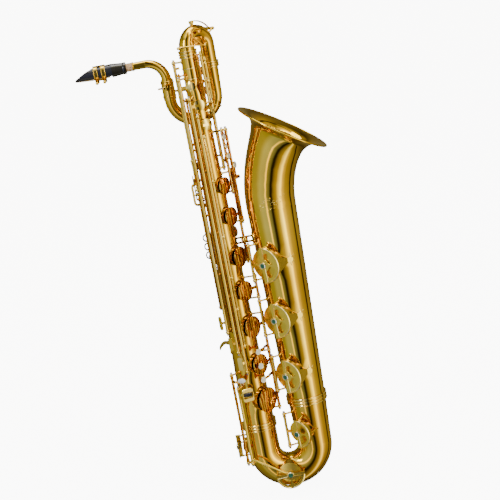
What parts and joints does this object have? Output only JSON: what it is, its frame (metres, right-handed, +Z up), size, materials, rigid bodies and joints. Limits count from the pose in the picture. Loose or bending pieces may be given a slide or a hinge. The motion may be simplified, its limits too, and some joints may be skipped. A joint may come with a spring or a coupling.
{
  "type": "baritone saxophone",
  "caption": "Baritone saxophone: conical tube with a bottom bow, upturned flared bell, coiled upper loop, swivelling neck with mouthpiece, and hinged keys with pads.",
  "frame": {"origin": "centre of the middle hole of the three-hole strap ring on the main tube", "axes": "+Z up along the main tube, +X from the main tube towards the bell, +Y towards the player's left hand side"},
  "size_m": [0.4901, 0.2019, 1.0327],
  "materials": {
    "lacquered_brass": "polished, clear gold lacquer",
    "brass_keywork": "polished, gold lacquer",
    "silver_plate": "polished plate",
    "steel": "turned steel",
    "cork": "natural cork, waxed",
    "ebonite": "polished hard rubber",
    "cane": "scraped cane",
    "felt": "dense wool felt",
    "black_roller": "turned and polished",
    "black_plastic": "satin"
  },
  "bodies": {
    "body": {"body_tube": "lacquered_brass", "bell": "lacquered_brass", "bottom_bow": "lacquered_brass", "upper_bow": "lacquered_brass", "loop_tube": "lacquered_brass", "body_ferrule": "brass_keywork", "bell_ferrule": "brass_keywork", "upper_ferrules": "brass_keywork", "neck_receiver": "brass_keywork", "posts": "brass_keywork", "hinge_rods": "steel", "pivot_screws": "steel", "low_a_guard": "brass_keywork", "low_bflat_guard": "brass_keywork", "low_b_guard": "brass_keywork", "low_csharp_guard": "brass_keywork", "low_c_guard": "brass_keywork", "low_eflat_guard": "brass_keywork", "guard_felts": "felt", "guard_screws": "steel", "bell_brace": "brass_keywork", "receiver_brace": "brass_keywork", "strap_ring": "silver_plate", "thumb_rest": "black_plastic", "thumb_hook": "brass_keywork"},
    "low_a_key": {"low_a_key": "brass_keywork"},
    "low_bflat_key": {"low_bflat_key": "brass_keywork"},
    "low_b_key": {"low_b_key": "brass_keywork"},
    "low_csharp_key": {"low_csharp_key": "brass_keywork"},
    "d_key": {"d_key": "brass_keywork"},
    "e_key": {"e_key": "brass_keywork"},
    "f_key": {"f_key": "brass_keywork"},
    "f_sharp_key": {"f_sharp_key": "brass_keywork"},
    "g_key": {"g_key": "brass_keywork"},
    "a_key": {"a_key": "brass_keywork"},
    "b_key": {"b_key": "brass_keywork"},
    "side_bflat_key": {"side_bflat_key": "brass_keywork"},
    "side_c_key": {"side_c_key": "brass_keywork"},
    "high_e_key": {"high_e_key": "brass_keywork"},
    "palm_d_key": {"palm_d_key": "brass_keywork"},
    "palm_eflat_key": {"palm_eflat_key": "brass_keywork"},
    "palm_f_key": {"palm_f_key": "brass_keywork"},
    "g_sharp_key": {"g_sharp_key": "brass_keywork"},
    "low_eflat_key": {"low_eflat_key": "brass_keywork"},
    "table_csharp_lever": {"table_csharp_lever": "brass_keywork"},
    "table_b_lever": {"table_b_lever": "brass_keywork"},
    "table_bflat_lever": {"table_bflat_lever": "brass_keywork"},
    "low_a_thumb_lever": {"low_a_thumb_lever": "brass_keywork"},
    "octave_thumb_lever": {"octave_thumb_lever": "brass_keywork"},
    "low_c_key": {"low_c_key": "brass_keywork"},
    "octave_key": {"octave_key": "brass_keywork"},
    "low_c_roller": {"low_c_roller": "black_roller"},
    "neck": {"neck_tube": "lacquered_brass", "neck_cork": "cork"},
    "mouthpiece": {"mouthpiece": "ebonite", "reed": "cane", "ligature": "brass_keywork", "ligature_screws": "brass_keywork"},
    "receiver_screw": {"receiver_screw": "brass_keywork"}
  },
  "joints": [
    {"name": "low_a_key_turn", "type": "hinge", "parent": "body", "child": "low_a_key", "pos_m": [0.08309, -0.01908, -0.049], "axis": [0, 0, 1], "range_deg": [0, 9], "stiffness_Nm_per_rad": 0.12, "springref_deg": -22.92},
    {"name": "low_bflat_key_turn", "type": "hinge", "parent": "body", "child": "low_bflat_key", "pos_m": [0.08424, -0.01744, -0.1725], "axis": [0, 0, 1], "range_deg": [0, 9], "stiffness_Nm_per_rad": 0.12, "springref_deg": -22.92},
    {"name": "low_b_key_turn", "type": "hinge", "parent": "body", "child": "low_b_key", "pos_m": [0.08841, -0.0167, -0.2995], "axis": [0, 0, 1], "range_deg": [0, 9], "stiffness_Nm_per_rad": 0.12, "springref_deg": -22.92},
    {"name": "low_csharp_key_turn", "type": "hinge", "parent": "body", "child": "low_csharp_key", "pos_m": [0.0912, -0.01621, -0.4305], "axis": [0, 0, -1], "range_deg": [0, 9], "stiffness_Nm_per_rad": 0.12, "springref_deg": -22.92},
    {"name": "d_key_turn", "type": "hinge", "parent": "body", "child": "d_key", "pos_m": [0.08483, -0.00649, -0.327], "axis": [0, 0, -1], "range_deg": [0, 9], "stiffness_Nm_per_rad": 0.12, "springref_deg": -22.92},
    {"name": "e_key_turn", "type": "hinge", "parent": "body", "child": "e_key", "pos_m": [0.08483, -0.00649, -0.26175], "axis": [0, 0, -1], "range_deg": [0, 9], "stiffness_Nm_per_rad": 0.12, "springref_deg": -22.92},
    {"name": "f_key_turn", "type": "hinge", "parent": "body", "child": "f_key", "pos_m": [0.08483, -0.00649, -0.20425], "axis": [0, 0, -1], "range_deg": [0, 9], "stiffness_Nm_per_rad": 0.12, "springref_deg": -22.92},
    {"name": "f_sharp_key_turn", "type": "hinge", "parent": "body", "child": "f_sharp_key", "pos_m": [0.08483, -0.00649, -0.1035], "axis": [0, 0, -1], "range_deg": [0, 9], "stiffness_Nm_per_rad": 0.12, "springref_deg": -22.92},
    {"name": "g_key_turn", "type": "hinge", "parent": "body", "child": "g_key", "pos_m": [0.0769, 0.0107, 0.0505], "axis": [0, 0, -1], "range_deg": [0, 8], "stiffness_Nm_per_rad": 0.12, "springref_deg": -22.92},
    {"name": "a_key_turn", "type": "hinge", "parent": "body", "child": "a_key", "pos_m": [0.0815, 0.0039, 0.14], "axis": [0, 0, -1], "range_deg": [0, 8], "stiffness_Nm_per_rad": 0.12, "springref_deg": -22.92},
    {"name": "b_key_turn", "type": "hinge", "parent": "body", "child": "b_key", "pos_m": [0.0732, 0.0006, 0.173], "axis": [0, 0, -1], "range_deg": [0, 8], "stiffness_Nm_per_rad": 0.12, "springref_deg": -22.92},
    {"name": "side_bflat_key_turn", "type": "hinge", "parent": "body", "child": "side_bflat_key", "pos_m": [0.0305, -0.036, 0.0015], "axis": [0, 0, -1], "range_deg": [0, 9], "stiffness_Nm_per_rad": 0.12, "springref_deg": -22.92},
    {"name": "side_c_key_turn", "type": "hinge", "parent": "body", "child": "side_c_key", "pos_m": [0.02, -0.033, 0.043], "axis": [0, 0, -1], "range_deg": [0, 9], "stiffness_Nm_per_rad": 0.12, "springref_deg": -22.92},
    {"name": "high_e_key_turn", "type": "hinge", "parent": "body", "child": "high_e_key", "pos_m": [0.006, -0.024, 0.0865], "axis": [0, 0, -1], "range_deg": [0, 9], "stiffness_Nm_per_rad": 0.12, "springref_deg": -22.92},
    {"name": "palm_d_key_turn", "type": "hinge", "parent": "body", "child": "palm_d_key", "pos_m": [0.064, 0.009, 0.23], "axis": [0, 0, 1], "range_deg": [0, 10], "stiffness_Nm_per_rad": 0.12, "springref_deg": -22.92},
    {"name": "palm_eflat_key_turn", "type": "hinge", "parent": "body", "child": "palm_eflat_key", "pos_m": [0.0628, 0.0184, 0.264], "axis": [0, 0, 1], "range_deg": [0, 10], "stiffness_Nm_per_rad": 0.12, "springref_deg": -22.92},
    {"name": "palm_f_key_turn", "type": "hinge", "parent": "body", "child": "palm_f_key", "pos_m": [0.051, 0.0195, 0.3], "axis": [0, 0, 1], "range_deg": [0, 10], "stiffness_Nm_per_rad": 0.12, "springref_deg": -22.92},
    {"name": "g_sharp_key_turn", "type": "hinge", "parent": "body", "child": "g_sharp_key", "pos_m": [0.04207, 0.03677, 0.006], "axis": [0, 0, 1], "range_deg": [0, 8], "stiffness_Nm_per_rad": 0.12, "springref_deg": -22.92},
    {"name": "low_eflat_key_turn", "type": "hinge", "parent": "body", "child": "low_eflat_key", "pos_m": [-0.004, -0.028, -0.383], "axis": [0, 0, 1], "range_deg": [0, 8], "stiffness_Nm_per_rad": 0.12, "springref_deg": -22.92},
    {"name": "table_csharp_lever_turn", "type": "hinge", "parent": "body", "child": "table_csharp_lever", "pos_m": [0.059, 0.034, -0.2065], "axis": [0, 0, 1], "range_deg": [0, 8], "stiffness_Nm_per_rad": 0.12, "springref_deg": -22.92},
    {"name": "table_b_lever_turn", "type": "hinge", "parent": "body", "child": "table_b_lever", "pos_m": [0.049, 0.0395, -0.153], "axis": [0, 0, 1], "range_deg": [0, 8], "stiffness_Nm_per_rad": 0.12, "springref_deg": -22.92},
    {"name": "table_bflat_lever_turn", "type": "hinge", "parent": "body", "child": "table_bflat_lever", "pos_m": [0.039, 0.0415, -0.112], "axis": [0, 0, 1], "range_deg": [0, 8], "stiffness_Nm_per_rad": 0.12, "springref_deg": -22.92},
    {"name": "low_a_thumb_lever_turn", "type": "hinge", "parent": "body", "child": "low_a_thumb_lever", "pos_m": [0.002, -0.013, 0.157], "axis": [0, 0, 1], "range_deg": [0, 8], "stiffness_Nm_per_rad": 0.12, "springref_deg": -22.92},
    {"name": "octave_thumb_lever_turn", "type": "hinge", "parent": "body", "child": "octave_thumb_lever", "pos_m": [0.002, 0.008, 0.241], "axis": [0, 0, -1], "range_deg": [0, 8], "stiffness_Nm_per_rad": 0.12, "springref_deg": -22.92},
    {"name": "low_c_key_turn", "type": "hinge", "parent": "body", "child": "low_c_key", "pos_m": [0.005, -0.036, -0.398], "axis": [0, 0, 1], "range_deg": [0, 4.6], "stiffness_Nm_per_rad": 0.12, "springref_deg": -22.92},
    {"name": "octave_key_turn", "type": "hinge", "parent": "body", "child": "octave_key", "pos_m": [0.08673, 0.04861, 0.44567], "axis": [-0.6848, 0.7287, 0], "range_deg": [0, 4], "stiffness_Nm_per_rad": 0.1, "springref_deg": -28.65},
    {"name": "low_c_roller_turn", "type": "hinge", "parent": "low_c_key", "child": "low_c_roller", "pos_m": [0.02313, -0.04759, -0.324], "axis": [0.9968, -0.0802, 0], "continuous": true},
    {"name": "neck_swing", "type": "hinge", "parent": "body", "child": "neck", "pos_m": [-0.0195, 0.039, 0.342], "axis": [0, 0, 1], "range_deg": [-30, 30]},
    {"name": "mouthpiece_slide", "type": "slide", "parent": "neck", "child": "mouthpiece", "axis": [-1, 0, 0], "range_m": [-0.008, 0.008]},
    {"name": "receiver_screw_turn", "type": "hinge", "parent": "body", "child": "receiver_screw", "pos_m": [-0.0195, 0.02, 0.344], "axis": [-1, 0, 0], "range_deg": [-180, 180]}
  ],
  "couplings": [
    {"joint": "f_sharp_key_turn", "follows": "f_key_turn", "ratio": 1},
    {"joint": "low_csharp_key_turn", "follows": "table_csharp_lever_turn", "ratio": 1.125},
    {"joint": "low_b_key_turn", "follows": "table_b_lever_turn", "ratio": 1.125},
    {"joint": "low_bflat_key_turn", "follows": "table_bflat_lever_turn", "ratio": 1.125},
    {"joint": "low_a_key_turn", "follows": "low_a_thumb_lever_turn", "ratio": 1.125},
    {"joint": "octave_key_turn", "follows": "octave_thumb_lever_turn", "ratio": 0.5}
  ]
}
